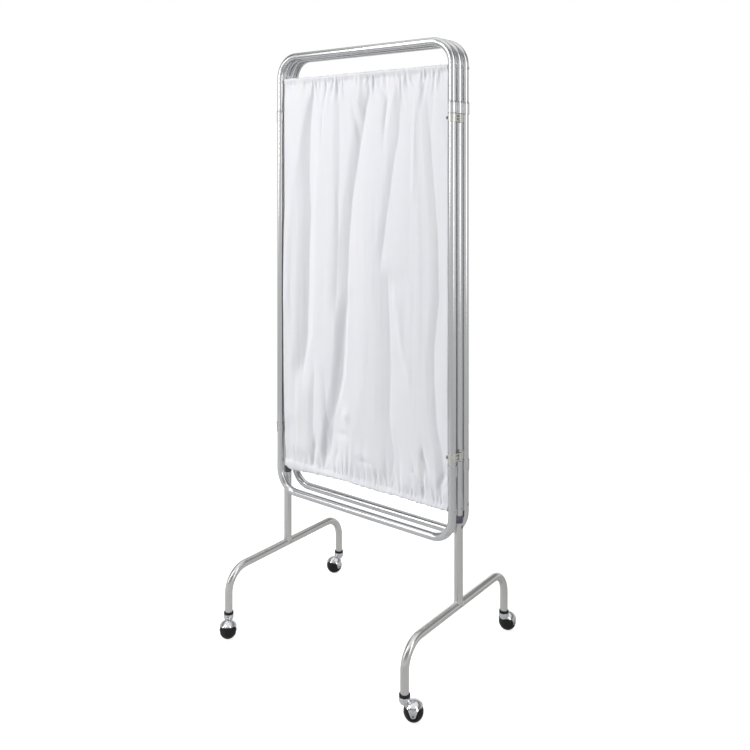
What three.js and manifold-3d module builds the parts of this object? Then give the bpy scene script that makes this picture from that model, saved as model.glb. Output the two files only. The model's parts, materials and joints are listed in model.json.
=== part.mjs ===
// Folding ward screen: three curtained tube frames joined in a zigzag by strap hinges, the middle
// one carried on two arched legs with ball casters. It is drawn folded shut, as it is wheeled about.
// Millimetres, +Z up. The panels lie along X, the front wing is towards -Y, the back wing towards +Y.
// The origin is on the floor, under the centre of the middle frame.
import * as THREE from 'three';
import Module from 'manifold-3d';
import { mergeVertices } from 'three/addons/utils/BufferGeometryUtils.js';

// Frame tubes
const tubeRadius = 11.1;
const tubeWall = 1.5;
const panelWidth = 634; // between the centre lines of a frame's two side tubes
const panelPitch = 32; // between the centre planes of neighbouring frames when folded
const screenHeight = 1720;
const frameBend = 64; // centre line radius of the frames' corners
const upperArchHeight = 209;
const lowerArchHeight = 218;

// Sockets, the widened ends of the arches that the straight side tubes plug into
const socketDepth = 28;
const socketTaper = 7;
const plugClearance = 0.3;
const plugStop = 2; // from the end of a side tube to the shoulder of its socket

// Curtain rods
const rodBelowBend = 7.9; // from the end of an upper arch's bend to the rod's centre line
const rodAboveBend = 20.9; // the same in a lower arch
const rodAboveCollar = 7; // from the top of a collar's spigot, in the middle frame
const rodRadius = 4;
const spigotRadius = 2.4;
const rodHeadRadius = 4.4;
const rodHeadHeight = 2;
const holeClearance = 0.3;
const seatGap = 0.3; // left between pieces that touch

// Curtains
const clothThickness = 2.4;
const hemRadius = 7.5;
const hemBoreClearance = 0.6;
const clothEdgeGap = 0.8;
const foldDepth = 9; // of the deepest folds, to either side of the rods' plane

// Hinges
const hingeHeight = 22;
const upperHingeGap = 1; // between a hinge and the socket next to it
const lowerHingeGap = 10;
const pinOffset = 14; // the pin stands this far outside the side tubes' centre lines
const strapThickness = 1.6;
const knuckleRadius = 4.6;
const pinRadius = 2.4;
const pinHeadRadius = 4;
const pinHeadHeight = 1.5;
const hingeWeb = 2;
const knuckleGap = 0.3;
const knuckleCount = 5;
const strapScrewRadius = 4.4;
const strapScrewHeight = 4;
const strapScrewTurn = 38; // degrees from square inwards, away from the neighbouring frame

// Legs
const postRadius = 11.7;
const postTop = 407;
const legTubeRadius = 11.1;
const legBarHeight = 184; // centre line of the straight part of a leg bar
const legSpan = 500; // between the two caster stems of a leg
const legBend = 64;
const collarHeight = 20;
const collarLowerSpigot = 34;
const collarUpperSpigot = 14;
const postScrewDrop = 11; // below the top of the post
const postScrewRadius = 4;
const postScrewHead = 2.5;
const postScrewShank = 2.2;
const postScrewReach = 6; // of the shank inside the post's outer face

// Casters, with heights above the floor
const ballRadius = 25;
const treadWidth = 6;
const hoodClearance = 1.6;
const hoodWall = 1.1;
const hoodRimRise = 14; // of the hood's rim above the axle
const hoodEarDrop = 5; // of the tips of the two ears below the axle
const hoodEarTip = 10; // width of an ear's tip
const hoodEarRoot = 22; // half the width of an ear where it leaves the rim
const casterTrail = 22;
const neckFootRadius = 8;
const neckRadius = 13.2;
const neckFoot = 40;
const neckShoulder = 46;
const neckTop = 54;
const stemRadius = 5.5;
const stemClearance = 0.3;
const stemTop = 92;
const axleRadius = 2.5;
const axleHeadRadius = 3.6;
const axleHeadHeight = 1;
const capRadius = 14;
const capBottom = 54.4;
const capTop = 66;
const capFloor = 3;
const capSleeveTop = 94;
const hubRadius = 9;

// Headings of the four casters, in degrees from +X towards +Y, as they were left standing
const casterHeadings = { right_front: 32, right_rear: 92, left_front: -47, left_rear: -95 };

// Counts of sides and steps
const tubeSides = 12;
const bendSteps = 4;
const smallSides = 8;
const rodSides = 6;
const ballSides = 18;
const cheekSteps = 3;
const domeSides = 16;
const domeSteps = 5;

const cutOverrun = 2;
const degree = Math.PI / 180;
const quarterTurn = Math.PI / 2;
const fittedTurn = Math.PI / tubeSides; // turns a fitted piece so that its flats lie along a tube's
const flatShare = Math.cos(fittedTurn); // of a tube's radius, from its axis to one of its flats

const wasm = await Module();
wasm.setup();

const aluminium = new THREE.MeshStandardMaterial({ color: 0xb9bbbe, roughness: 0.28, metalness: 1 });
const legMetal = new THREE.MeshStandardMaterial({ color: 0xa9abae, roughness: 0.38, metalness: 1 });
const zinc = new THREE.MeshStandardMaterial({ color: 0xa8a596, roughness: 0.35, metalness: 1 });
const steel = new THREE.MeshStandardMaterial({ color: 0x9a9c9e, roughness: 0.3, metalness: 1 });
const chrome = new THREE.MeshStandardMaterial({ color: 0xd4d6d8, roughness: 0.08, metalness: 1 });
const blackPlastic = new THREE.MeshStandardMaterial({ color: 0x17171a, roughness: 0.5, metalness: 0 });
const collarPlastic = new THREE.MeshStandardMaterial({ color: 0x2c2b3c, roughness: 0.5, metalness: 0 });
const blackRubber = new THREE.MeshStandardMaterial({ color: 0x111112, roughness: 0.6, metalness: 0 });
const cloth = new THREE.MeshStandardMaterial({ color: 0xe8e8ec, roughness: 0.55, metalness: 0 });

const screen = new THREE.Group();

function addPiece(name, geometry, material, parent = screen) {
  const mesh = new THREE.Mesh(geometry, material);
  mesh.name = name;
  parent.add(mesh);
  return mesh;
}

// Turns a closed geometry into a solid that can be joined and cut
function solidOf(geometry) {
  const bare = geometry.clone();
  bare.deleteAttribute('normal');
  bare.deleteAttribute('uv');
  const merged = mergeVertices(bare);
  const index = merged.index.array;
  const triangles = [];
  for (let i = 0; i < index.length; i += 3) {
    const [a, b, c] = [index[i], index[i + 1], index[i + 2]];
    if (a !== b && b !== c && c !== a) triangles.push(a, b, c);
  }
  const vertProperties = Float32Array.from(merged.attributes.position.array);
  const triVerts = Uint32Array.from(triangles);
  return new wasm.Manifold(new wasm.Mesh({ numProp: 3, vertProperties, triVerts }));
}

function geometryOf(solid) {
  const mesh = solid.getMesh();
  const geometry = new THREE.BufferGeometry();
  geometry.setAttribute('position', new THREE.BufferAttribute(mesh.vertProperties, mesh.numProp));
  geometry.setIndex(new THREE.BufferAttribute(mesh.triVerts, 1));
  geometry.computeVertexNormals();
  return geometry;
}

// A turned piece about the Z axis. The outline's points are [radius, height], from the bottom up
// along the outside
function turned(outline, sides, start = 0) {
  const points = outline.map(([radius, height]) => new THREE.Vector2(radius, height));
  const geometry = new THREE.LatheGeometry(points, sides, start);
  geometry.rotateX(quarterTurn);
  return geometry;
}

function rod(radius, bottom, top, sides) {
  return turned([[0, bottom], [radius, bottom], [radius, top], [0, top]], sides);
}

// An upright plate from a flat outline, between two heights
function plate(shape, bottom, top) {
  const geometry = new THREE.ExtrudeGeometry(shape, { depth: top - bottom, bevelEnabled: false });
  geometry.translate(0, 0, bottom);
  return geometry;
}

// A hollow tube through stations in one plane. Each station has a place, a direction, and an outer
// and an inner radius, and flat is the normal of the plane
function sweptTube(stations, flat, sides) {
  const positions = [];
  const triangles = [];
  const ringStart = (station, layer) => (station * 2 + layer) * sides;
  for (const { place, direction, outer, inner } of stations) {
    const across = new THREE.Vector3().crossVectors(direction, flat);
    for (const radius of [outer, inner]) {
      for (let i = 0; i < sides; i++) {
        const angle = ((i + 0.5) / sides) * 2 * Math.PI;
        const point = place.clone();
        point.addScaledVector(flat, radius * Math.cos(angle));
        point.addScaledVector(across, radius * Math.sin(angle));
        positions.push(point.x, point.y, point.z);
      }
    }
  }
  const addQuad = (a, b, c, d) => triangles.push(d, c, b, d, b, a);
  for (let i = 0; i < sides; i++) {
    const j = (i + 1) % sides;
    for (let s = 0; s + 1 < stations.length; s++) {
      const [near, far] = [ringStart(s, 0), ringStart(s + 1, 0)];
      addQuad(near + i, far + i, far + j, near + j);
      const [nearBore, farBore] = [ringStart(s, 1), ringStart(s + 1, 1)];
      addQuad(nearBore + j, farBore + j, farBore + i, nearBore + i);
    }
    const last = stations.length - 1;
    addQuad(ringStart(0, 0) + j, ringStart(0, 1) + j, ringStart(0, 1) + i, ringStart(0, 0) + i);
    addQuad(ringStart(last, 0) + i, ringStart(last, 1) + i, ringStart(last, 1) + j, ringStart(last, 0) + j);
  }
  const geometry = new THREE.BufferGeometry();
  geometry.setAttribute('position', new THREE.Float32BufferAttribute(positions, 3));
  geometry.setIndex(triangles);
  geometry.computeVertexNormals();
  return geometry;
}

// Stations of an arch: two legs in the direction of down, and a bar between them with round corners.
// The ends list pairs of [distance from a leg's end, added radius]
function archStations({ span, barLevel, endLevel, bend, radius, wall, ends, along }) {
  const up = Math.sign(barLevel - endLevel);
  const place = (across, level) => along.clone().multiplyScalar(across).setZ(level);
  const half = span / 2;
  const leg = ends.map(([distance, swell]) => ({
    place: place(-half, endLevel + up * distance),
    direction: new THREE.Vector3(0, 0, up),
    outer: radius + swell,
    inner: radius - wall + swell,
  }));
  const corner = [];
  for (let i = 0; i <= bendSteps; i++) {
    const turn = (i / bendSteps) * quarterTurn;
    corner.push({
      place: place(-half + bend * (1 - Math.cos(turn)), barLevel - up * bend * (1 - Math.sin(turn))),
      direction: along.clone().multiplyScalar(Math.sin(turn)).setZ(up * Math.cos(turn)),
      outer: radius,
      inner: radius - wall,
    });
  }
  const firstHalf = [...leg, ...corner];
  const secondHalf = firstHalf.map((station) => ({
    ...station,
    place: station.place.clone().sub(along.clone().multiplyScalar(2 * station.place.dot(along))),
    direction: station.direction.clone().multiply(new THREE.Vector3(1, 1, -1)),
  }));
  return [...firstHalf, ...secondHalf.reverse()];
}

const sideX = new THREE.Vector3(1, 0, 0);
const sideY = new THREE.Vector3(0, 1, 0);

// Frames, in their own plane: X across, Z up from the floor, Y zero on the centre plane
const halfPanel = panelWidth / 2;
const sideTubeFoot = postTop + collarHeight; // of the middle frame
const postScrewLevel = postTop - postScrewDrop;
const socketSwell = tubeWall + plugClearance;
const socketEnds = [
  [0, socketSwell],
  [socketDepth, socketSwell],
  [socketDepth + socketTaper, 0],
];
const topRodHeight = screenHeight - tubeRadius - frameBend - rodBelowBend;
const bottomRodHeight = sideTubeFoot + collarUpperSpigot + rodAboveCollar;
const wingBottom = bottomRodHeight - rodAboveBend - frameBend - tubeRadius;
const upperArchEnd = screenHeight - upperArchHeight;
const lowerArchEnd = wingBottom + lowerArchHeight;
const sideTubeTop = upperArchEnd + socketDepth - plugStop;
const upperHingeLevel = upperArchEnd - upperHingeGap - hingeHeight / 2;
const lowerHingeLevel = lowerArchEnd + lowerHingeGap + hingeHeight / 2;

// A drill that cuts along X between two places, at a height
function drillAlongX(radius, from, to, height, sides = smallSides) {
  const drill = rod(radius, Math.min(from, to), Math.max(from, to), sides);
  drill.rotateY(quarterTurn);
  drill.translate(0, 0, height);
  return solidOf(drill);
}

// Drills a piece right across for the spigots of the curtain rods at the given heights
function withRodHoles(geometry, halfReach, heights) {
  let solid = solidOf(geometry);
  const reach = halfReach + tubeRadius + cutOverrun;
  for (const height of heights) {
    solid = solid.subtract(drillAlongX(spigotRadius + holeClearance, -reach, reach, height, rodSides));
  }
  return geometryOf(solid);
}

function upperArch() {
  const stations = archStations({
    span: panelWidth,
    barLevel: screenHeight - tubeRadius,
    endLevel: upperArchEnd,
    bend: frameBend,
    radius: tubeRadius,
    wall: tubeWall,
    ends: socketEnds,
    along: sideX,
  });
  return withRodHoles(sweptTube(stations, sideY, tubeSides), halfPanel, [topRodHeight]);
}

function lowerArch() {
  const stations = archStations({
    span: panelWidth,
    barLevel: wingBottom + tubeRadius,
    endLevel: lowerArchEnd,
    bend: frameBend,
    radius: tubeRadius,
    wall: tubeWall,
    ends: socketEnds,
    along: sideX,
  });
  return withRodHoles(sweptTube(stations, sideY, tubeSides), halfPanel, [bottomRodHeight]);
}

function straightTube(radius, wall, bottom, top) {
  const upwards = new THREE.Vector3(0, 0, 1);
  const stations = [bottom, top].map((height) => ({
    place: new THREE.Vector3(0, 0, height),
    direction: upwards,
    outer: radius,
    inner: radius - wall,
  }));
  return sweptTube(stations, sideY, tubeSides);
}

// A side tube about its own axis. The middle frame's tubes are drilled for their bottom rod
function sideTube(bottom, drilledHeights) {
  return withRodHoles(straightTube(tubeRadius, tubeWall, bottom, sideTubeTop), 0, drilledHeights);
}

// A curtain rod between the side tubes: its shoulders bear on the tubes, and thin spigots pass
// through them and end in heads outside
function curtainRod(height) {
  const shoulder = halfPanel - flatShare * tubeRadius - seatGap;
  const headFace = halfPanel + flatShare * tubeRadius + seatGap;
  const half = [
    [rodRadius, shoulder],
    [spigotRadius, shoulder],
    [spigotRadius, headFace],
    [rodHeadRadius, headFace],
    [rodHeadRadius, headFace + rodHeadHeight],
    [0, headFace + rodHeadHeight],
  ];
  const mirrored = half.map(([radius, reach]) => [radius, -reach]).reverse();
  const geometry = turned([...mirrored, ...half], rodSides);
  geometry.rotateY(quarterTurn);
  geometry.translate(0, 0, height);
  return geometry;
}

// A curtain with a hem tunnel round each rod. Its main folds run down it as ridges and valleys: each
// row of this table is one, with its places across, as shares of half the cloth's width, and how far
// it stands forward, as shares of the fold depth, at the levels that rowShares names
const rowShares = [0.03, 0.14, 0.32, 0.54, 0.77, 0.97]; // of the way down from hem to hem
const foldShares = [
  { across: [-1, -1, -1, -1, -1, -1], forward: [0, 0.1, 0.4, 0.5, 0.3, 0] },
  { across: [-0.65, -0.75, -0.88, -0.95, -0.95, -0.93], forward: [0.3, 0.8, 0.9, 0.8, 0.4, 0] },
  { across: [-0.6, -0.65, -0.65, -0.69, -0.83, -0.82], forward: [-0.4, -1, -1, -1, -0.1, 0] },
  { across: [-0.5, -0.51, -0.56, -0.6, -0.76, -0.73], forward: [0.3, 0.8, 0.8, 0.8, 0.6, 0.2] },
  { across: [-0.38, -0.38, -0.42, -0.43, -0.6, -0.59], forward: [0, 0, 0.1, 0.1, -0.4, -0.4] },
  { across: [-0.27, -0.25, -0.26, -0.29, -0.44, -0.49], forward: [-0.4, -0.7, -0.7, -0.6, -0.6, -0.5] },
  { across: [-0.08, -0.12, -0.2, -0.25, -0.37, -0.46], forward: [0.2, 0.3, 0.3, 0, 0, -0.2] },
  { across: [0.09, 0.03, -0.12, -0.19, -0.3, -0.43], forward: [-0.4, -0.9, -1, -1, -0.9, -0.5] },
  { across: [0.2, 0.16, 0.02, -0.14, -0.25, -0.36], forward: [0.1, 0.2, 0.3, 0.6, 0.7, 0.3] },
  { across: [0.35, 0.32, 0.17, 0.08, 0.02, 0.09], forward: [0, 0.2, 0.2, 0.2, 0.2, -0.3] },
  { across: [0.5, 0.48, 0.34, 0.34, 0.36, 0.37], forward: [-0.4, -0.7, -0.6, -0.7, -0.8, -0.6] },
  { across: [0.63, 0.62, 0.5, 0.44, 0.55, 0.6], forward: [0.2, 0.3, 0.3, 0.6, 0.4, 0.1] },
  { across: [0.71, 0.72, 0.72, 0.72, 0.72, 0.74], forward: [0.1, 0.2, 0.2, 0.3, 0.3, -0.4] },
  { across: [0.78, 0.82, 0.89, 0.92, 0.85, 0.89], forward: [-0.4, -0.6, -0.7, -0.7, -0.6, -0.6] },
  { across: [1, 1, 1, 1, 1, 1], forward: [0, 0, 0.1, 0.1, 0, 0] },
];
const hemAngles = [259, 191, 124, 56, -11, -79];
function curtain(mirrored) {
  const halfWidth = halfPanel - strapScrewReach - clothEdgeGap;
  const hang = topRodHeight - bottomRodHeight;
  const flip = mirrored ? -1 : 1;
  const folds = mirrored ? [...foldShares].reverse() : foldShares;
  const hemRing = (across, level, turn) =>
    hemAngles.map((angle) => [
      flip * halfWidth * across,
      hemRadius * Math.cos(angle * degree) * turn,
      level + hemRadius * Math.sin(angle * degree) * turn,
    ]);
  const outlineOf = ({ across, forward }) => {
    const rows = rowShares.map((share, row) => ({
      x: flip * halfWidth * across[row],
      y: -foldDepth * forward[row],
      z: topRodHeight - hemRadius - share * (hang - 2 * hemRadius),
    }));
    return [
      ...hemRing(across[0], topRodHeight, 1),
      ...rows.map(({ x, y, z }) => [x, y + clothThickness / 2, z]),
      ...hemRing(across.at(-1), bottomRodHeight, -1),
      ...[...rows].reverse().map(({ x, y, z }) => [x, y - clothThickness / 2, z]),
    ];
  };
  const boreRadius = rodRadius + hemBoreClearance;
  const boreAt = (x, level) =>
    Array.from({ length: rodSides }, (_, i) => {
      const angle = (i / rodSides) * 2 * Math.PI;
      return [x, boreRadius * Math.cos(angle), level + boreRadius * Math.sin(angle)];
    });

  const positions = [];
  const triangles = [];
  const addLoop = (loop) => {
    const start = positions.length / 3;
    positions.push(...loop.flat());
    return start;
  };
  const joinLoops = (near, far, count) => {
    for (let i = 0; i < count; i++) {
      const j = (i + 1) % count;
      triangles.push(near + j, near + i, far + i, near + j, far + i, far + j);
    }
  };

  const outlines = folds.map(outlineOf);
  const outlineStarts = outlines.map(addLoop);
  const outlineCount = outlines[0].length;
  for (let fold = 0; fold + 1 < folds.length; fold++) {
    joinLoops(outlineStarts[fold], outlineStarts[fold + 1], outlineCount);
  }
  const bores = [topRodHeight, bottomRodHeight].map((level) => ({
    near: addLoop(boreAt(-halfWidth, level)),
    far: addLoop(boreAt(halfWidth, level)),
    loop: boreAt(0, level),
  }));
  for (const { near, far } of bores) joinLoops(near, far, rodSides);

  const flat = ([, y, z]) => new THREE.Vector2(y, z);
  for (const isNear of [true, false]) {
    const outline = outlines.at(isNear ? 0 : -1);
    const holes = bores.map(({ loop }) => loop.map(flat));
    const faces = THREE.ShapeUtils.triangulateShape(outline.map(flat), holes);
    const starts = [
      outlineStarts.at(isNear ? 0 : -1),
      ...bores.map(({ near, far }) => (isNear ? near : far)),
    ];
    const vertexOf = (i) => {
      if (i < outlineCount) return starts[0] + i;
      const hole = Math.floor((i - outlineCount) / rodSides);
      return starts[1 + hole] + ((i - outlineCount) % rodSides);
    };
    for (const face of faces) {
      const [a, b, c] = face.map(vertexOf);
      if (isNear) triangles.push(c, b, a);
      else triangles.push(a, b, c);
    }
  }
  const geometry = new THREE.BufferGeometry();
  geometry.setAttribute('position', new THREE.Float32BufferAttribute(positions, 3));
  geometry.setIndex(triangles);
  geometry.computeVertexNormals();
  return geometry;
}

// Legs: a post welded on the middle of an arched bar whose two ends take the casters
const stubBottom = capBottom + capFloor + seatGap;
const postFlat = flatShare * postRadius;
function leg(side) {
  const bar = sweptTube(
    archStations({
      span: legSpan,
      barLevel: legBarHeight,
      endLevel: stubBottom,
      bend: legBend,
      radius: legTubeRadius,
      wall: tubeWall,
      ends: [[0, 0]],
      along: sideY,
    }),
    sideX,
    tubeSides,
  );
  const post = straightTube(postRadius, tubeWall, legBarHeight, postTop);
  const outside = side * (postRadius + cutOverrun);
  const screwHole = drillAlongX(postScrewShank + holeClearance, 0, outside, postScrewLevel);
  return geometryOf(solidOf(bar).add(solidOf(post)).subtract(screwHole));
}

// A plastic collar between a post and the side tube above it, with a spigot into each
function postCollar(side) {
  const lowerSpigot = postRadius - tubeWall - plugClearance;
  const upperSpigot = tubeRadius - tubeWall - plugClearance;
  const body = turned(
    [
      [0, postTop - collarLowerSpigot],
      [lowerSpigot, postTop - collarLowerSpigot],
      [lowerSpigot, postTop + seatGap],
      [postRadius, postTop + seatGap],
      [postRadius, sideTubeFoot - seatGap],
      [upperSpigot, sideTubeFoot - seatGap],
      [upperSpigot, sideTubeFoot + collarUpperSpigot],
      [0, sideTubeFoot + collarUpperSpigot],
    ],
    tubeSides,
    fittedTurn,
  );
  const blindEnd = postRadius - postScrewReach - holeClearance;
  const screwHole = drillAlongX(
    postScrewShank + holeClearance,
    side * blindEnd,
    side * (postRadius + cutOverrun),
    postScrewLevel,
  );
  return geometryOf(solidOf(body).subtract(screwHole));
}

// The screw that holds a collar in its post, from the outside
function postScrew(side) {
  const headFace = postFlat + seatGap;
  const geometry = turned(
    [
      [0, postRadius - postScrewReach],
      [postScrewShank, postRadius - postScrewReach],
      [postScrewShank, headFace],
      [postScrewRadius, headFace],
      [postScrewRadius, headFace + postScrewHead / 2],
      [postScrewRadius / 2, headFace + postScrewHead],
      [0, headFace + postScrewHead],
    ],
    smallSides,
  );
  geometry.rotateY(side * quarterTurn);
  geometry.translate(0, 0, postScrewLevel);
  return geometry;
}

// Hinges. A leaf is a strap round its tube with a clamp screw, and fingers that run off its outer
// side to every other knuckle on the pin. The tube's centre line is the leaf's origin, and the pin
// lies towards the side and the neighbouring frame
const hingeLevels = { upper: upperHingeLevel, lower: lowerHingeLevel };
const knuckleHeight = (hingeHeight - (knuckleCount - 1) * knuckleGap) / knuckleCount;
const strapBore = tubeRadius + seatGap;
const strapOuter = strapBore + strapThickness;
const strapFlat = flatShare * strapOuter;
const webFace = flatShare * strapBore + strapThickness / 4; // inner face, from the tube's centre line
const strapScrewReach =
  (strapFlat + strapScrewHeight) * Math.cos(strapScrewTurn * degree) +
  strapScrewRadius * Math.sin(strapScrewTurn * degree);
function hingeLeaf(side, towards, firstKnuckle) {
  const pinPlace = new THREE.Vector2(side * pinOffset, (towards * panelPitch) / 2);
  const half = hingeHeight / 2;
  const ring = [
    [strapBore, -half],
    [strapOuter, -half],
    [strapOuter, half],
    [strapBore, half],
    [strapBore, -half],
  ];
  let solid = solidOf(turned(ring, tubeSides, fittedTurn));
  const screwFoot = strapFlat - strapThickness / 2;
  const screw = rod(strapScrewRadius, screwFoot, strapFlat + strapScrewHeight, smallSides);
  screw.rotateY(-side * quarterTurn);
  screw.rotateZ(side * towards * strapScrewTurn * degree);
  solid = solid.add(solidOf(screw));

  for (let k = firstKnuckle; k < knuckleCount; k += 2) {
    const bottom = k * (knuckleHeight + knuckleGap) - half;
    const web = new THREE.BoxGeometry(hingeWeb, Math.abs(pinPlace.y), knuckleHeight);
    web.translate(side * (webFace + hingeWeb / 2), pinPlace.y / 2, bottom + knuckleHeight / 2);
    const knuckle = rod(knuckleRadius, bottom, bottom + knuckleHeight, smallSides);
    knuckle.translate(pinPlace.x, pinPlace.y, 0);
    solid = solid.add(solidOf(web)).add(solidOf(knuckle));
  }
  const bore = rod(pinRadius + holeClearance, -half - cutOverrun, half + cutOverrun, smallSides);
  bore.translate(pinPlace.x, pinPlace.y, 0);
  return geometryOf(solid.subtract(solidOf(bore)));
}

function hingePin() {
  const seat = hingeHeight / 2 + seatGap;
  const end = seat + pinHeadHeight;
  return turned(
    [
      [0, -end],
      [pinHeadRadius, -end],
      [pinHeadRadius, -seat],
      [pinRadius, -seat],
      [pinRadius, seat],
      [pinHeadRadius, seat],
      [pinHeadRadius, end],
      [0, end],
    ],
    smallSides,
  );
}

// Casters, each about its own upright stem, with the wheel trailing along +X and its axle along Y
function casterCap() {
  const stemBore = stemRadius + stemClearance;
  const sleeve = legTubeRadius - tubeWall - plugClearance;
  const cup = legTubeRadius + plugClearance;
  return turned(
    [
      [stemBore, capBottom],
      [capRadius, capBottom],
      [capRadius, capTop],
      [cup, capTop],
      [cup, capBottom + capFloor],
      [sleeve, capBottom + capFloor],
      [sleeve, capSleeveTop],
      [stemBore, capSleeveTop],
      [stemBore, capBottom],
    ],
    tubeSides,
    fittedTurn,
  );
}

// A dome about the wheel's centre, closed by a flat base that far below the axle
function dome(radius, drop) {
  const lowest = Math.asin(-drop / radius);
  const outline = [[0, -drop]];
  for (let i = 0; i <= domeSteps; i++) {
    const angle = lowest + (i / domeSteps) * (quarterTurn - lowest);
    outline.push([i === domeSteps ? 0 : radius * Math.cos(angle), radius * Math.sin(angle)]);
  }
  const geometry = turned(outline, domeSides);
  geometry.translate(casterTrail, 0, ballRadius);
  return solidOf(geometry);
}

// The chrome hood over a wheel, with an ear down to each end of the axle, and its neck and stem
const hoodBore = ballRadius + hoodClearance;
const hoodOuter = hoodBore + hoodWall;
function casterHood() {
  const neck = turned(
    [
      [0, neckFoot],
      [neckFootRadius, neckFoot],
      [neckRadius, neckShoulder],
      [neckRadius, neckTop],
      [0, neckTop],
    ],
    tubeSides,
  );
  const stem = rod(stemRadius, (neckShoulder + neckTop) / 2, stemTop, tubeSides);
  let solid = dome(hoodOuter, hoodEarDrop).add(solidOf(neck));
  solid = solid.subtract(dome(hoodBore, hoodEarDrop + cutOverrun)).add(solidOf(stem));

  const wide = hoodOuter + neckRadius;
  const opening = new THREE.Shape();
  opening.moveTo(hoodEarTip / 2, -hoodEarDrop - cutOverrun);
  opening.lineTo(wide, -hoodEarDrop - cutOverrun);
  opening.lineTo(wide, hoodRimRise);
  opening.lineTo(hoodEarRoot, hoodRimRise);
  opening.lineTo(hoodEarTip / 2, -hoodEarDrop);
  opening.closePath();
  const ahead = plate(opening, -hoodOuter - cutOverrun, hoodOuter + cutOverrun);
  ahead.rotateX(quarterTurn);
  const behind = ahead.clone().rotateZ(Math.PI);
  for (const cutter of [ahead, behind]) {
    cutter.translate(casterTrail, 0, ballRadius);
    solid = solid.subtract(solidOf(cutter));
  }
  const axleHole = new THREE.CylinderGeometry(
    axleRadius + holeClearance,
    axleRadius + holeClearance,
    2 * (hoodOuter + cutOverrun),
    smallSides,
  );
  axleHole.translate(casterTrail, 0, ballRadius);
  return geometryOf(solid.subtract(solidOf(axleHole)));
}

// The ball wheel, with a narrow flat tread to roll on and a flat hub in each cheek
function casterWheel() {
  const reach = ballRadius / Math.cos(Math.PI / ballSides);
  const treadAngle = Math.asin(treadWidth / 2 / reach);
  const hubAngle = Math.acos(hubRadius / reach);
  const half = [];
  for (let i = 0; i <= cheekSteps; i++) {
    const angle = treadAngle + (i / cheekSteps) * (hubAngle - treadAngle);
    half.push([reach * (i === 0 ? 1 : Math.cos(angle)), reach * Math.sin(angle)]);
  }
  half.push([axleRadius + holeClearance, reach * Math.sin(hubAngle)]);
  const mirrored = half.map(([radius, across]) => [radius, -across]).reverse();
  const closed = [...mirrored, ...half, mirrored[0]];
  const outline = closed.map(([radius, across]) => new THREE.Vector2(radius, across));
  const geometry = new THREE.LatheGeometry(outline, ballSides, Math.PI / ballSides);
  geometry.translate(casterTrail, 0, ballRadius);
  return geometry;
}

function casterAxle() {
  const headFace = hoodOuter + seatGap;
  const half = [
    [axleRadius, headFace],
    [axleHeadRadius, headFace],
    [axleHeadRadius / 2, headFace + axleHeadHeight],
    [0, headFace + axleHeadHeight],
  ];
  const mirrored = half.map(([radius, across]) => [radius, -across]).reverse();
  const outline = [...mirrored, ...half].map(([radius, across]) => new THREE.Vector2(radius, across));
  const geometry = new THREE.LatheGeometry(outline, smallSides);
  geometry.translate(casterTrail, 0, ballRadius);
  return geometry;
}

// Assembly. Frames and hinges stand in groups on the centre planes of their frames
const sides = { left: -1, right: 1 };
const frames = {
  front: { offset: -panelPitch, mirrored: false },
  middle: { offset: 0, mirrored: true },
  rear: { offset: panelPitch, mirrored: false },
};

for (const [frameName, { offset, mirrored }] of Object.entries(frames)) {
  const frame = new THREE.Group();
  frame.position.y = offset;
  screen.add(frame);
  addPiece(`${frameName}_upper_arch`, upperArch(), aluminium, frame);
  const isMiddle = frameName === 'middle';
  if (!isMiddle) addPiece(`${frameName}_lower_arch`, lowerArch(), aluminium, frame);
  const foot = isMiddle ? sideTubeFoot : lowerArchEnd - socketDepth + plugStop;
  const drilled = isMiddle ? [bottomRodHeight] : [];
  for (const [sideName, side] of Object.entries(sides)) {
    const tube = addPiece(`${frameName}_${sideName}_tube`, sideTube(foot, drilled), aluminium, frame);
    tube.position.x = side * halfPanel;
  }
  addPiece(`${frameName}_top_rod`, curtainRod(topRodHeight), steel, frame);
  addPiece(`${frameName}_bottom_rod`, curtainRod(bottomRodHeight), steel, frame);
  addPiece(`${frameName}_curtain`, curtain(mirrored), cloth, frame);
}

for (const [sideName, side] of Object.entries(sides)) {
  const x = side * halfPanel;
  addPiece(`${sideName}_leg`, leg(side), legMetal).position.x = x;
  addPiece(`${sideName}_post_collar`, postCollar(side), collarPlastic).position.x = x;
  addPiece(`${sideName}_post_screw`, postScrew(side), steel).position.x = x;
}

// The front wing hangs on the right of the middle frame, the rear wing on its left
const wingHinges = { front: { side: 1, towards: -1 }, rear: { side: -1, towards: 1 } };
for (const [wing, { side, towards }] of Object.entries(wingHinges)) {
  for (const [level, height] of Object.entries(hingeLevels)) {
    const name = `${wing}_${level}_hinge`;
    const place = (piece, y) => piece.position.set(side * halfPanel, y, height);
    place(addPiece(`${name}_wing_leaf`, hingeLeaf(side, -towards, 0), zinc), towards * panelPitch);
    place(addPiece(`${name}_frame_leaf`, hingeLeaf(side, towards, 1), zinc), 0);
    const pin = addPiece(`${name}_pin`, hingePin(), steel);
    pin.position.set(side * (halfPanel + pinOffset), (towards * panelPitch) / 2, height);
  }
}

const ends = { front: -1, rear: 1 };
for (const [sideName, side] of Object.entries(sides)) {
  for (const [endName, end] of Object.entries(ends)) {
    const name = `${sideName}_${endName}_caster`;
    const place = [side * halfPanel, (end * legSpan) / 2, 0];
    addPiece(`${name}_cap`, casterCap(), blackPlastic).position.set(...place);
    const swivel = new THREE.Group();
    swivel.position.set(...place);
    swivel.rotation.z = casterHeadings[`${sideName}_${endName}`] * degree;
    screen.add(swivel);
    addPiece(`${name}_hood`, casterHood(), chrome, swivel);
    addPiece(`${name}_wheel`, casterWheel(), blackRubber, swivel);
    addPiece(`${name}_axle`, casterAxle(), steel, swivel);
  }
}

export default screen;
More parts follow.
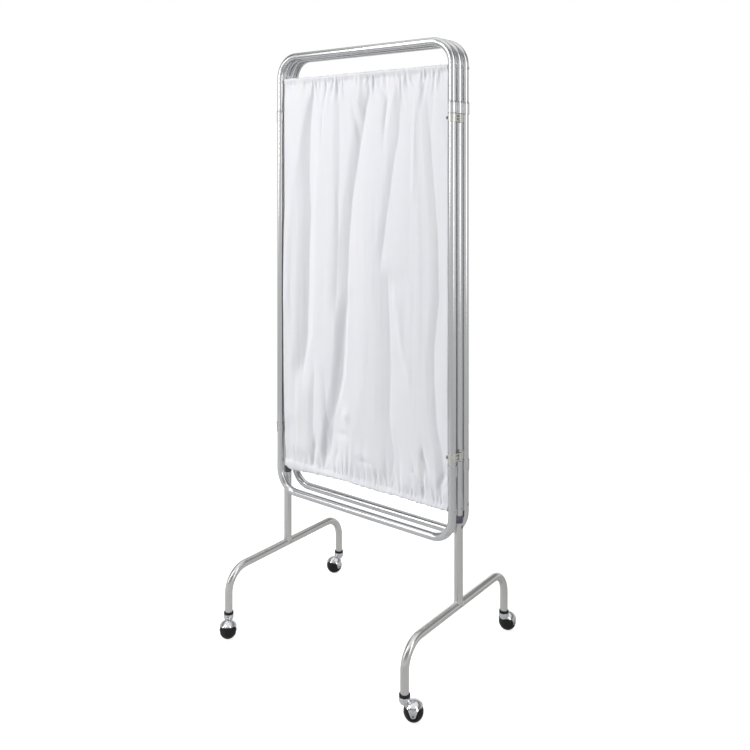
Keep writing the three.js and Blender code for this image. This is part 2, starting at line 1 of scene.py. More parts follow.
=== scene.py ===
"""The looks of a folding ward screen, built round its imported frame. Metres, +Z up, -Y to the front."""
import json
import math

import bpy
import numpy as np
from mathutils import Matrix, Vector


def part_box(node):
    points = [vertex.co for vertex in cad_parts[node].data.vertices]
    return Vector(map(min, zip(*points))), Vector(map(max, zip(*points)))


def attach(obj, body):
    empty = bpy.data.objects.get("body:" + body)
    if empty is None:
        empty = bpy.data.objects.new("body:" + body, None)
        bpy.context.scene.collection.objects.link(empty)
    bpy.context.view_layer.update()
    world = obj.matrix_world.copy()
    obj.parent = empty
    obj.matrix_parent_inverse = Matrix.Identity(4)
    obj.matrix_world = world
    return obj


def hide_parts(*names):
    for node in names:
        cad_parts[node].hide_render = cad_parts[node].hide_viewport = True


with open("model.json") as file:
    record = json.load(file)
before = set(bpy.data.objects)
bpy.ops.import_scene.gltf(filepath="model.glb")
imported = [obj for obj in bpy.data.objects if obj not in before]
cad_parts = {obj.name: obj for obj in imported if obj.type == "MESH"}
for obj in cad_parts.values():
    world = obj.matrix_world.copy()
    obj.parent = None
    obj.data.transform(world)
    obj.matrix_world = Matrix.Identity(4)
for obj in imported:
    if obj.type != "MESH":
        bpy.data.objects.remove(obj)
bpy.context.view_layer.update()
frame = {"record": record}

record = frame["record"]
body_of_node = {n: b for b, nodes in record["behaviour"]["bodies"].items() for n in nodes}
slot_of_node = {s["node"]: s["material_slot"] for s in record["subparts"]}

MM = 0.001
UP = Vector((0, 0, 1))
ALONG_X = Vector((1, 0, 0))
ALONG_Y = Vector((0, 1, 0))


def centre_of(node):
    low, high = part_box(node)
    return (low + high) / 2


def on_floor(place):
    return Vector((place.x, place.y, 0))


FRAMES = ("front", "middle", "rear")
SIDES = ("left", "right")

# Camera, fitted to the photograph: a level view with a lowered lens
CAMERA_PLACE = Vector((1.530, -1.939, 1.359))
CAMERA_YAW = math.radians(37.7)
CAMERA_LENS = 40.39
CAMERA_SENSOR = 36.0
CAMERA_SHIFT_Y = -0.2733

# Tubes
TUBE_RADIUS = 11.1 * MM
TUBE_WALL = 1.5 * MM
TUBE_SIDES = 32
TUBE_EDGE = 0.3 * MM
# How deep a tube's open ends are modelled
TUBE_DEPTH = 30 * MM
LEG_DEPTH = 20 * MM
BEND_RADIUS = 64 * MM
BEND_STEPS = 16
LEG_BAR_LEVEL = 184 * MM
POST_RADIUS = 11.7 * MM

# Swaged sockets, with a rolled lip at the end
SOCKET_SWELL = 1.8 * MM
SOCKET_DEPTH = 28 * MM
SOCKET_TAPER = 7 * MM
TAPER_STEPS = 6
SOCKET_BORE = TUBE_RADIUS + 0.3 * MM
SOCKET_OUTER = TUBE_RADIUS + SOCKET_SWELL
LIP_RADIUS = SOCKET_OUTER + 0.4 * MM

# Welds between posts and leg bars, each a ring of small beads
WELD_RADIUS = 1.7 * MM
WELD_STEPS = 72
WELD_SIDES = 8
WELD_BEADS = 18
WELD_SWELL = 0.22
WELD_UNEVENNESS = 0.6
WELD_OUT = 0.4 * MM
WELD_LIFT = 0.3 * MM

# Rods and screws
ROD_RADIUS = 4 * MM
ROD_GAP = 0.2 * MM
ROD_ROUNDING = 0.4 * MM
ROD_SIDES = 24
ROD_HEAD_RADIUS = 4.4 * MM
ROD_HEAD_HEIGHT = 2 * MM
POST_SCREW_RADIUS = 4 * MM
POST_SCREW_HEIGHT = 2.5 * MM
SCREW_SIDES = 20
# Its dome from the edge inward, as (share of the radius, share of the height)
SCREW_DOME = [(1, 0), (1, 0.55), (0.6, 1), (0.3, 1)]
# How deep a screw head sits in a curved face
SCREW_SINK = 0.2 * MM

# Collars
COLLAR_GAP = 0.2 * MM
COLLAR_RADIUS = POST_RADIUS + 0.1 * MM
COLLAR_ROUNDING = 0.8 * MM
SPIGOT_RADIUS = TUBE_RADIUS - TUBE_WALL - 0.3 * MM
SPIGOT_BEVEL = 1 * MM

# Hinges
PIN_RADIUS = 2.4 * MM
PIN_HEAD_RADIUS = 4 * MM
PIN_HEAD_HEIGHT = 1.5 * MM
# From its top inward, as (share of the radius, share of the height)
PIN_HEAD = [(0.25, 0), (0.75, 0.25), (1, 0.7), (1, 1)]
STRAP_BORE = TUBE_RADIUS + 0.1 * MM
STRAP_OUTER = STRAP_BORE + 1.6 * MM
STRAP_SIDES = 36
KNUCKLE_RADIUS = 4.6 * MM
KNUCKLE_COUNT = 5
KNUCKLE_GAP = 0.3 * MM
KNUCKLE_SIDES = 24
FINGER_FACE = STRAP_BORE + 0.3 * MM
FINGER_THICKNESS = 2 * MM
LEAF_ROUNDING = 0.5 * MM
CLAMP_HEAD_RADIUS = 4.4 * MM
CLAMP_HEAD_HEIGHT = 4 * MM
CLAMP_RECESS = 1.2 * MM
CLAMP_SINK = 0.3 * MM
CLAMP_TURN = math.radians(38)

# Casters
BALL_RADIUS = 25 * MM
BALL_SIDES = 48
BALL_STEPS = 12
TREAD_HALF_WIDTH = 3 * MM
TREAD_GROOVE = 0.35 * MM
HUB_RADIUS = 11.6 * MM
HUB_DEPTH = 1 * MM
HOOD_BORE = 26.6 * MM
HOOD_WALL = 1.1 * MM
HOOD_OUTER = HOOD_BORE + HOOD_WALL
HOOD_COLUMNS = 144
HOOD_ROWS = 30
HOOD_TOP_SHARE = 0.02
# Half the hood's width at heights above the axle, in millimetres: rounded ears, and the rim above
HOOD_HALF_WIDTHS = [
    (-5.4, 0), (-5, 3.2), (-3.4, 5.8), (3, 8), (8.5, 10), (12.8, 12), (14.8, 15), (15.6, 28),
]
RIM_HIGHEST = math.radians(30)
RIM_LOWEST = math.radians(120)
RIM_STEP = math.radians(0.25)
EAR_FACE = 23.7 * MM
EAR_GROOVE = 0.7 * MM
EAR_GROOVE_REACH = 0.7 * MM
# The axle from inside an ear outward, as (radius, place beyond the ear's face) in millimetres
AXLE_END = [(2.5, -3), (2.5, 0.05), (3.4, 0.05), (3.3, 0.4), (2.2, 0.8), (0.4, 0.9)]
NECK_RADIUS = 14.3 * MM
NECK_TOP = 60 * MM
NECK_SHOULDER = 51.5 * MM
NECK_BOWL = 12.5 * MM
NECK_STEPS = 8
NECK_SIDES = 40
NECK_MIDDLE = 1 * MM
NECK_ROUNDING = 0.8 * MM
# How far outside the hood's bore the neck's bottom stays
NECK_CLEARANCE = 0.4 * MM
STEM_TOP = 92 * MM
STEM_RADIUS = 5.5 * MM
RING_BOTTOM = 60.3 * MM
RING_TOP = 66 * MM
RING_RADIUS = 14 * MM
RING_FOOT_RADIUS = 13.4 * MM
RING_FOOT_HEIGHT = 1.5 * MM
RING_CUP = TUBE_RADIUS + 0.2 * MM
RING_CUP_DEPTH = 4 * MM
RING_ROUNDING = 0.7 * MM

# Sizes taken from the frame. Its tubes have few sides, so their boxes are a little small
CAD_TUBE_SIDES = 12
BOX_LOSS = TUBE_RADIUS * (1 - math.cos(math.pi / CAD_TUBE_SIDES))
HALF_PANEL = centre_of("front_right_tube").x
ARCH_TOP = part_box("front_upper_arch")[1].z + BOX_LOSS
WING_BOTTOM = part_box("front_lower_arch")[0].z - BOX_LOSS
LEG_HALF_SPAN = centre_of("right_rear_caster_cap").y
POST_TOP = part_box("left_leg")[1].z
COLLAR_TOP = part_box("middle_left_tube")[0].z


# Materials

# The middle range of a noise value, which most of it lies in
NOISE_LOW = 0.3
NOISE_HIGH = 0.7
# Noise along a drawn piece: its lines, and the clouds over them
LINE_SCALE = (900, 900, 9)
CLOUD_SCALE = (30, 30, 12)
CLOUD_SHARE = 0.35


def new_material(name):
    material = bpy.data.materials.new(name)
    material.use_nodes = True
    shader = material.node_tree.nodes["Principled BSDF"]
    return material, material.node_tree, shader


def feed(tree, socket, value):
    """Gives a node's input a plain value, or links it to another node's output."""
    if isinstance(value, bpy.types.NodeSocket):
        tree.links.new(value, socket)
    else:
        socket.default_value = value


def fill(tree, node, inputs):
    for name, value in inputs.items():
        feed(tree, node.inputs[name], value)


def new_node(tree, kind, inputs, output, **settings):
    """Adds a node with plain or linked inputs, and gives one of its outputs."""
    node = tree.nodes.new(kind)
    for name, value in settings.items():
        setattr(node, name, value)
    fill(tree, node, inputs)
    return node.outputs[output]


def scaled(tree, vector, scale):
    return new_node(tree, "ShaderNodeMapping", {"Vector": vector, "Scale": scale}, "Vector")


def straight_coordinates(tree, scale):
    """Coordinates of the straight, unbent piece that a mesh was swept or turned from."""
    return scaled(tree, new_node(tree, "ShaderNodeAttribute", {}, "Vector", attribute_name="straight"), scale)


def place_coordinates(tree, scale=(1, 1, 1)):
    return scaled(tree, new_node(tree, "ShaderNodeTexCoord", {}, "Object"), scale)


def noise_value(tree, vector, scale, detail=4.0, roughness=0.5):
    inputs = {"Vector": vector, "Scale": scale, "Detail": detail, "Roughness": roughness}
    return new_node(tree, "ShaderNodeTexNoise", inputs, "Fac")


def ramp(tree, value, stops):
    """A colour ramp. Stops are pairs of place and colour."""
    node = tree.nodes.new("ShaderNodeValToRGB")
    elements = node.color_ramp.elements
    while len(elements) < len(stops):
        elements.new(0.5)
    for element, (place, colour) in zip(elements, stops):
        element.position = place
        element.color = (*colour, 1)
    tree.links.new(value, node.inputs["Fac"])
    return node.outputs["Color"]


def spread(tree, value, low, high):
    """Maps a noise value's middle range onto low to high."""
    inputs = {"Value": value, "From Min": NOISE_LOW, "From Max": NOISE_HIGH, "To Min": low, "To Max": high}
    return new_node(tree, "ShaderNodeMapRange", inputs, "Result")


def mix_colours(tree, factor, first, second):
    inputs = {"Factor": factor, "A": first, "B": second}
    return new_node(tree, "ShaderNodeMix", inputs, "Result", data_type="RGBA")


def bump(tree, height, strength, distance):
    inputs = {"Height": height, "Strength": strength, "Distance": distance}
    return new_node(tree, "ShaderNodeBump", inputs, "Normal")


def shade(colour, factor):
    return tuple(min(1.0, c * factor) for c in colour)


def varied(tree, value, colour, share):
    """A colour that a noise value makes darker and lighter by a share."""
    return ramp(tree, value, [(NOISE_LOW, shade(colour, 1 - share)), (NOISE_HIGH, shade(colour, 1 + share))])


def drawn_metal(name, colour, roughness, streak, wear):
    """Metal with fine lines along the length it was drawn in, and faint cloudy handling marks."""
    material, tree, shader = new_material(name)
    lines = noise_value(tree, straight_coordinates(tree, LINE_SCALE), 1.0, detail=5.0, roughness=0.6)
    clouds = noise_value(tree, straight_coordinates(tree, CLOUD_SCALE), 1.0, detail=3.0)
    streaked, worn = varied(tree, lines, colour, streak), varied(tree, clouds, colour, wear)
    fill(tree, shader, {
        "Base Color": mix_colours(tree, CLOUD_SHARE, streaked, worn),
        "Roughness": spread(tree, lines, roughness * 0.8, roughness * 1.25),
        "Metallic": 1.0,
        "Normal": bump(tree, lines, strength=0.12, distance=0.12 * MM),
    })
    return material


def plated_metal(name, colour, roughness, mottle):
    """Plated metal with a mottled tone and small scratches."""
    material, tree, shader = new_material(name)
    spots = noise_value(tree, place_coordinates(tree), 240.0, detail=5.0, roughness=0.6)
    scratches = noise_value(tree, place_coordinates(tree, (1, 1, 0.08)), 1400.0, detail=2.0)
    fill(tree, shader, {
        "Base Color": varied(tree, spots, colour, mottle),
        "Roughness": spread(tree, spots, roughness * 0.7, roughness * 1.3),
        "Metallic": 1.0,
        "Normal": bump(tree, scratches, strength=0.08, distance=0.1 * MM),
    })
    return material


def moulded_plastic(name, colour, roughness):
    """Moulded plastic or rubber with a fine grain and a little dust in it."""
    material, tree, shader = new_material(name)
    grain = noise_value(tree, place_coordinates(tree), 1800.0, detail=3.0)
    dust = noise_value(tree, place_coordinates(tree), 70.0, detail=5.0, roughness=0.6)
    fill(tree, shader, {
        "Base Color": ramp(tree, dust, [(0.4, colour), (0.8, shade(colour, 1.9))]),
        "Roughness": spread(tree, dust, roughness * 0.85, roughness * 1.2),
        "Specular IOR Level": 0.3,
        "Normal": bump(tree, grain, strength=0.2, distance=0.1 * MM),
    })
    return material


def vinyl(name, colour):
    """White vinyl sheet: soft sheen, a fine embossed grain and a faint lilac cast in places."""
    material, tree, shader = new_material(name)
    tint = noise_value(tree, place_coordinates(tree, (1, 1, 0.35)), 9.0, detail=3.0)
    grain = noise_value(tree, place_coordinates(tree), 2600.0, detail=2.0)
    cool = (colour[0] * 0.985, colour[1] * 0.99, colour[2] * 1.012)
    fill(tree, shader, {
        "Base Color": ramp(tree, tint, [(NOISE_LOW, cool), (NOISE_HIGH, shade(colour, 1.01))]),
        "Roughness": spread(tree, tint, 0.42, 0.5),
        "Specular IOR Level": 0.45,
        "Sheen Weight": 0.08,
        "Sheen Roughness": 0.4,
        "Subsurface Weight": 0.05,
        "Subsurface Scale": 1.5 * MM,
        "Normal": bump(tree, grain, strength=0.1, distance=0.08 * MM),
    })
    return material


DARK_STEEL = plated_metal("dark_steel", (0.3, 0.3, 0.31), roughness=0.35, mottle=0.12)

material_of_slot = {
    "frame_tube": drawn_metal("satin_aluminium", (0.74, 0.745, 0.755), roughness=0.2, streak=0.05, wear=0.03),
    "leg_tube": drawn_metal("leg_metal", (0.75, 0.75, 0.74), roughness=0.22, streak=0.08, wear=0.04),
    "hinge": plated_metal("zinc_plate", (0.76, 0.755, 0.73), roughness=0.3, mottle=0.06),
    "rod": drawn_metal("drawn_steel", (0.6, 0.6, 0.61), roughness=0.3, streak=0.05, wear=0.05),
    "fastener": DARK_STEEL,
    "caster_chrome": plated_metal("chrome_plate", (0.78, 0.79, 0.81), roughness=0.06, mottle=0.02),
    "wheel": moulded_plastic("black_rubber", (0.008, 0.008, 0.008), roughness=0.36),
    "cap": moulded_plastic("black_plastic", (0.01, 0.01, 0.011), roughness=0.42),
    "collar": moulded_plastic("violet_plastic", (0.16, 0.15, 0.2), roughness=0.4),
    "curtain": vinyl("white_vinyl", (0.885, 0.885, 0.912)),
}


# Mesh tools


def hold_corners(outline, reach=0.5 * MM):
    """Adds points close to the ends of long stretches, so that a corner's shading stays at the corner."""
    result = [outline[0]]
    for start, end in zip(outline, outline[1:]):
        length = math.hypot(end[0] - start[0], end[1] - start[1])
        if length > 4 * reach:
            for share in (reach / length, 1 - reach / length):
                result.append(tuple(a + (b - a) * share for a, b in zip(start, end)))
        result.append(end)
    return result


def rounded(outline, radius, steps=3):
    """Rounds the inner corners of an outline of (radius, height) pairs."""
    points = [Vector(p) for p in outline]
    result = [points[0]]
    for before, corner, after in zip(points, points[1:], points[2:]):
        to_before, to_after = before - corner, after - corner
        cut = min(radius, to_before.length * 0.45, to_after.length * 0.45)
        start = corner + to_before.normalized() * cut
        end = corner + to_after.normalized() * cut
        for i in range(steps + 1):
            t = i / steps
            result.append(start * (1 - t) ** 2 + corner * (2 * t * (1 - t)) + end * t**2)
    result.append(points[-1])
    return [tuple(p) for p in result]


def unit_circle(sides):
    """The cosine and sine of each turn round a ring."""
    angles = [2 * math.pi * i / sides for i in range(sides)]
    return [(math.cos(angle), math.sin(angle)) for angle in angles]


class Shape:
    """Rings and faces gathered for one mesh, with the coordinates of the straight piece beside them."""

    def __init__(self):
        self.points = []
        self.straight = []
        self.faces = []

    def ring(self, points, straight=None):
        """Adds a row of points. Where no straight piece is given, it is the row itself."""
        start = len(self.points)
        self.points.extend(points)
        self.straight.extend(straight or [tuple(p) for p in points])
        return start

    def bridge(self, near, far, count, closed=True):
        for i in range(count if closed else count - 1):
            j = (i + 1) % count
            self.faces.append((near + i, near + j, far + j, far + i))

    def join(self, starts, count, closed=True):
        for near, far in zip(starts, starts[1:]):
            self.bridge(near, far, count, closed)

    def cap(self, start, count, turned=False):
        face = list(range(start, start + count))
        self.faces.append(tuple(reversed(face)) if turned else tuple(face))

    def revolve(self, outline, place, axis, sides, cap_ends=True):
        """Turns an outline of (radius, height) pairs about an axis through a place."""
        axis = Vector(axis).normalized()
        side = axis.orthogonal().normalized()
        other = axis.cross(side)
        turns = unit_circle(sides)
        starts = []
        for radius, height in hold_corners(outline):
            ring = [Vector(place) + (side * c + other * s) * radius + axis * height for c, s in turns]
            starts.append(self.ring(ring, [(radius * c, radius * s, height) for c, s in turns]))
        self.join(starts, sides)
        if cap_ends:
            self.cap(starts[0], sides, True)
            self.cap(starts[-1], sides)

    def sweep(self, stations, flat, sides):
        """Sweeps round sections through stations of (place, direction, radius), all in one plane."""
        turns = unit_circle(sides)
        starts = []
        run = 0.0
        before = stations[0][0]
        for place, direction, radius in stations:
            run += (place - before).length
            before = place
            across = flat.cross(direction)
            ring = [place + flat * (radius * c) + across * (radius * s) for c, s in turns]
            starts.append(self.ring(ring, [(radius * c, radius * s, run) for c, s in turns]))
        self.join(starts, sides)

    def mesh(self, name, sharp):
        """The gathered mesh, smooth but for edges sharper than this many degrees."""
        mesh = bpy.data.meshes.new(name)
        mesh.from_pydata([tuple(p) for p in self.points], [], self.faces)
        straight = mesh.attributes.new("straight", "FLOAT_VECTOR", "POINT")
        straight.data.foreach_set("vector", np.array(self.straight, np.float32).ravel())
        mesh.validate()
        mesh.shade_smooth()
        mesh.set_sharp_from_angle(angle=math.radians(sharp))
        return mesh


def add_object(name, data):
    made = bpy.data.objects.new(name, data)
    bpy.context.scene.collection.objects.link(made)
    return made


def add_piece(name, mesh, node, material=None):
    """Adds a piece that rides on a CAD node's body and takes its slot."""
    piece = add_object(name, mesh)
    slot = slot_of_node[node]
    mesh.materials.append(material or material_of_slot[slot])
    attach(piece, body_of_node[node])
    return piece


def stand_for(shape, node, sharp=35):
    piece = add_piece(f"{node}_fine", shape.mesh(f"{node}_fine", sharp), node)
    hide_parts(node)


def stand_turned(node, outline, sides, place=None, axis=UP, cap_ends=True, sharp=35):
    """Replaces a node with a turned outline, upright at the node's middle if no place is given."""
    shape = Shape()
    shape.revolve(outline, on_floor(centre_of(node)) if place is None else place, axis, sides, cap_ends)
    stand_for(shape, node, sharp)


# Tubes


def arch_stations(middle, along, half_span, bar_level, end_level, ends):
    """Stations of an arch in an upright plane. Ends are (distance from a leg's end, radius) pairs."""
    up = 1 if bar_level > end_level else -1
    half = []
    for distance, radius in hold_corners(ends):
        half.append((-half_span, end_level + up * distance, 0.0, radius))
    for i in range(BEND_STEPS + 1):
        turn = math.pi / 2 * i / BEND_STEPS
        across = -half_span + BEND_RADIUS * (1 - math.cos(turn))
        level = bar_level - up * BEND_RADIUS * (1 - math.sin(turn))
        half.append((across, level, turn, TUBE_RADIUS))
    stations = []
    for sign, leg_and_bend in ((1, half), (-1, half[::-1])):
        for across, level, turn, radius in leg_and_bend:
            direction = along * math.sin(turn) + UP * (sign * up * math.cos(turn))
            stations.append((middle + along * (sign * across) + UP * level, direction, radius))
    return stations


def socket_ends():
    """The swaged end of an arch: a rolled lip, the socket and the taper down to the tube."""
    taper = []
    for i in range(TAPER_STEPS + 1):
        t = i / TAPER_STEPS
        eased = t * t * (3 - 2 * t)
        taper.append((SOCKET_DEPTH + SOCKET_TAPER * t, SOCKET_OUTER - SOCKET_SWELL * eased))
    return [
        (SOCKET_DEPTH * 0.9, SOCKET_BORE),
        (0.5 * MM, SOCKET_BORE),
        (0, SOCKET_BORE + 0.4 * MM),
        (0, SOCKET_OUTER - 0.1 * MM),
        (0.4 * MM, LIP_RADIUS),
        (1.2 * MM, LIP_RADIUS),
        (1.6 * MM, SOCKET_OUTER),
        *taper,
    ]


def frame_arch(node, bar_is_up):
    low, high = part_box(node)
    middle = Vector((0, (low.y + high.y) / 2, 0))
    if bar_is_up:
        bar_level, end_level = ARCH_TOP - TUBE_RADIUS, low.z
    else:
        bar_level, end_level = WING_BOTTOM + TUBE_RADIUS, high.z
    stations = arch_stations(middle, ALONG_X, HALF_PANEL, bar_level, end_level, socket_ends())
    shape = Shape()
    shape.sweep(stations, ALONG_Y, TUBE_SIDES)
    stand_for(shape, node, sharp=50)


def open_end(radius, level, inward):
    """The top or bottom of a tube, from its outside over the edge and into the bore."""
    return [
        (radius, level + inward * TUBE_EDGE),
        (radius - TUBE_EDGE, level),
        (radius - TUBE_WALL, level),
        (radius - TUBE_WALL, level + inward * TUBE_DEPTH),
    ]


def straight_tube(node):
    low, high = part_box(node)
    outline = open_end(TUBE_RADIUS, low.z, 1)[::-1] + open_end(TUBE_RADIUS, high.z, -1)
    stand_turned(node, outline, TUBE_SIDES, cap_ends=False, sharp=50)


def leg(node):
    low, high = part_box(node)
    x = (low.x + high.x) / 2
    bore = TUBE_RADIUS - TUBE_WALL
    ends = [(LEG_DEPTH, bore), (0, bore), (0, TUBE_RADIUS)]
    middle = Vector((x, 0, 0))
    stations = arch_stations(middle, ALONG_Y, LEG_HALF_SPAN, LEG_BAR_LEVEL, low.z, ends)
    shape = Shape()
    shape.sweep(stations, ALONG_X, TUBE_SIDES)
    post = [(POST_RADIUS, LEG_BAR_LEVEL), *open_end(POST_RADIUS, high.z, -1)]
    shape.revolve(post, (x, 0, 0), UP, TUBE_SIDES, cap_ends=False)
    stand_for(shape, node, sharp=50)


def weld_bead(node):
    """The weld in the corner between a post and its leg bar, a ring of small overlapping beads."""
    x = centre_of(node).x
    radius = POST_RADIUS + WELD_OUT
    circle = unit_circle(WELD_SIDES)
    shape = Shape()
    starts = []
    for i in range(WELD_STEPS):
        angle = 2 * math.pi * i / WELD_STEPS
        offset = Vector((radius * math.cos(angle), radius * math.sin(angle), 0))
        level = LEG_BAR_LEVEL + math.sqrt(max(TUBE_RADIUS**2 - offset.x**2, 0)) + WELD_LIFT
        middle = Vector((x, 0, level)) + offset
        outward = offset.normalized()
        swell = math.cos(WELD_BEADS * angle + WELD_UNEVENNESS * math.sin(3 * angle))
        thick = WELD_RADIUS * (1 + WELD_SWELL * swell)
        starts.append(shape.ring([middle + outward * (thick * c) + UP * (thick * s) for c, s in circle]))
    for i in range(WELD_STEPS):
        shape.bridge(starts[(i + 1) % WELD_STEPS], starts[i], WELD_SIDES)
    add_piece(f"{node}_weld", shape.mesh(f"{node}_weld", sharp=80), node)


for name in FRAMES:
    frame_arch(f"{name}_upper_arch", bar_is_up=True)
    for side in SIDES:
        straight_tube(f"{name}_{side}_tube")
for name in ("front", "rear"):
    frame_arch(f"{name}_lower_arch", bar_is_up=False)
for side in SIDES:
    leg(f"{side}_leg")
    weld_bead(f"{side}_leg")


# Rods, collars and screws


def screw_head(shape, place, axis, radius, height, recess=0.5 * MM):
    """A domed head with a round recess in its middle."""
    dome = [(radius * r, height * h) for r, h in SCREW_DOME]
    bottom = [(radius * 0.22, height - recess), (0.05 * MM, height - recess)]
    shape.revolve(rounded(dome, height * 0.4) + bottom, place, axis, SCREW_SIDES)


def curtain_rod(node):
    middle = centre_of(node)
    end = HALF_PANEL - TUBE_RADIUS - ROD_GAP
    outline = [(0.5 * MM, -end), (ROD_RADIUS, -end), (ROD_RADIUS, end), (0.5 * MM, end)]
    shape = Shape()
    shape.revolve(rounded(outline, ROD_ROUNDING), (0, middle.y, middle.z), ALONG_X, ROD_SIDES)
    for side in (-1, 1):
        place = (side * (HALF_PANEL + TUBE_RADIUS - SCREW_SINK), middle.y, middle.z)
        screw_head(shape, place, ALONG_X * side, ROD_HEAD_RADIUS, ROD_HEAD_HEIGHT)
    stand_for(shape, node)


def collar(node):
    low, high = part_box(node)
    bottom, top = POST_TOP + COLLAR_GAP, COLLAR_TOP - COLLAR_GAP
    band = [(SPIGOT_RADIUS, bottom), (COLLAR_RADIUS, bottom), (COLLAR_RADIUS, top), (SPIGOT_RADIUS, top)]
    outline = [
        (SPIGOT_RADIUS - SPIGOT_BEVEL, low.z),
        (SPIGOT_RADIUS, low.z + SPIGOT_BEVEL),
        *rounded(band, COLLAR_ROUNDING),
        (SPIGOT_RADIUS, high.z - SPIGOT_BEVEL),
        (SPIGOT_RADIUS - SPIGOT_BEVEL, high.z),
    ]
    stand_turned(node, outline, TUBE_SIDES)


def post_screw(node):
    middle = centre_of(node)
    side = 1 if middle.x > 0 else -1
    place = (side * (HALF_PANEL + POST_RADIUS - SCREW_SINK), 0, middle.z)
    shape = Shape()
    screw_head(shape, place, ALONG_X * side, POST_SCREW_RADIUS, POST_SCREW_HEIGHT)
    stand_for(shape, node)


for name in FRAMES:
    curtain_rod(f"{name}_top_rod")
    curtain_rod(f"{name}_bottom_rod")
for side in SIDES:
    collar(f"{side}_post_collar")
    post_screw(f"{side}_post_screw")


# Hinges


def leaf_ring(shape, centre, inner, outer, bottom, top, sides):
    """A ring with a rounded section, as a strap or a knuckle is."""
    corners = [(inner, bottom), (outer, bottom), (outer, top), (inner, top), (inner, bottom + 1 * MM)]
    shape.revolve(rounded(corners, LEAF_ROUNDING), on_floor(centre), UP, sides, cap_ends=False)


def finger(shape, tube, side, ends, bottom, top):
    """A flat bar between two places along Y, on the outer side of a strap."""
    start = (FINGER_THICKNESS / 2, bottom)
    corners = [(FINGER_THICKNESS, bottom), (FINGER_THICKNESS, top), (0, top), (0, bottom)]
    section = rounded([start, *corners, start], LEAF_ROUNDING)
    starts = []
    for y in ends:
        starts.append(shape.ring([Vector((tube.x + side * (FINGER_FACE + x), y, z)) for x, z in section]))
    shape.bridge(*starts, len(section))
    shape.cap(starts[0], len(section), True)
    shape.cap(starts[1], len(section))


def strap_leaf(node, tube, pin, fingers):
    """A strap round its tube, and fingers that run off its outer side to knuckles on the pin."""
    low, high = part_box(node)
    side = 1 if tube.x > 0 else -1
    towards = 1 if pin.y > tube.y else -1
    shape = Shape()
    leaf_ring(shape, tube, STRAP_BORE, STRAP_OUTER, low.z, high.z, STRAP_SIDES)
    height = (high.z - low.z - (KNUCKLE_COUNT - 1) * KNUCKLE_GAP) / KNUCKLE_COUNT
    for number in fingers:
        bottom = low.z + number * (height + KNUCKLE_GAP)
        top = bottom + height
        leaf_ring(shape, pin, PIN_RADIUS, KNUCKLE_RADIUS, bottom, top, KNUCKLE_SIDES)
        finger(shape, tube, side, (tube.y, pin.y - towards * PIN_RADIUS), bottom, top)
    stand_for(shape, node)

    bolt = Shape()
    axis = Vector((-side * math.cos(CLAMP_TURN), -towards * math.sin(CLAMP_TURN), 0))
    place = Vector((tube.x, tube.y, (low.z + high.z) / 2)) + axis * (STRAP_OUTER - CLAMP_SINK)
    screw_head(bolt, place, axis, CLAMP_HEAD_RADIUS, CLAMP_HEAD_HEIGHT, CLAMP_RECESS)
    name = f"{node}_clamp_screw"
    add_piece(name, bolt.mesh(name, sharp=35), node, DARK_STEEL)


def hinge_pin(node):
    """A pin with a domed head at each end."""
    low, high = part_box(node)
    outline = [(PIN_HEAD_RADIUS * r, low.z + PIN_HEAD_HEIGHT * h) for r, h in PIN_HEAD]
    outline += [(PIN_RADIUS, low.z + PIN_HEAD_HEIGHT), (PIN_RADIUS, high.z - PIN_HEAD_HEIGHT)]
    outline += [(PIN_HEAD_RADIUS * r, high.z - PIN_HEAD_HEIGHT * h) for r, h in reversed(PIN_HEAD)]
    stand_turned(node, outline, SCREW_SIDES)


for wing, side_tube in (("front", "right_tube"), ("rear", "left_tube")):
    wing_tube = centre_of(f"{wing}_{side_tube}")
    middle_tube = centre_of(f"middle_{side_tube}")
    for level in ("upper", "lower"):
        hinge = f"{wing}_{level}_hinge"
        pin = centre_of(f"{hinge}_pin")
        strap_leaf(f"{hinge}_wing_leaf", wing_tube, pin, (0, 2, 4))
        strap_leaf(f"{hinge}_frame_leaf", middle_tube, pin, (1, 3))
        hinge_pin(f"{hinge}_pin")


# Casters


def rim_angle(along):
    """How far from the top the hood's edge lies, where a direction leans this much along the trail."""
    heights, widths = np.array(HOOD_HALF_WIDTHS).T * MM
    angle = RIM_HIGHEST
    while angle < RIM_LOWEST:
        height = HOOD_OUTER * math.cos(angle)
        if HOOD_OUTER * math.sin(angle) * along > np.interp(height, heights, widths):
            break
        angle += RIM_STEP
    return angle


def hood_rims():
    """The rim's angle from the top all the way round, evened out between neighbours."""
    rims = [rim_angle(abs(along)) for along, _ in unit_circle(HOOD_COLUMNS)]
    following = rims[1:] + rims[:1]
    return [(rims[i - 1] + 2 * rims[i] + following[i]) / 4 for i in range(HOOD_COLUMNS)]


HOOD_RIMS = hood_rims()
HOOD_SHARES = [HOOD_TOP_SHARE + (1 - HOOD_TOP_SHARE) * r / HOOD_ROWS for r in range(HOOD_ROWS + 1)]


def hood_layer(shape, ball, trail, axle, radius, face, shares):
    """One side of the dome, its ears pressed flat at a face, with a groove round the flat."""
    edge = math.sqrt(radius**2 - face**2)
    starts = []
    for share in shares:
        ring = []
        for rim, (c, s) in zip(HOOD_RIMS, unit_circle(HOOD_COLUMNS)):
            angle = rim * share
            along = radius * math.sin(angle) * c
            out = radius * math.sin(angle) * s
            up = radius * math.cos(angle)
            reach = math.hypot(along, up)
            out = max(-face, min(face, out))
            if abs(reach - edge) < EAR_GROOVE_REACH:
                along, up = along * edge / reach, up * edge / reach
                out = math.copysign(face - EAR_GROOVE, out)
            ring.append(ball + trail * along + axle * out + UP * up)
        starts.append(shape.ring(ring))
    return starts


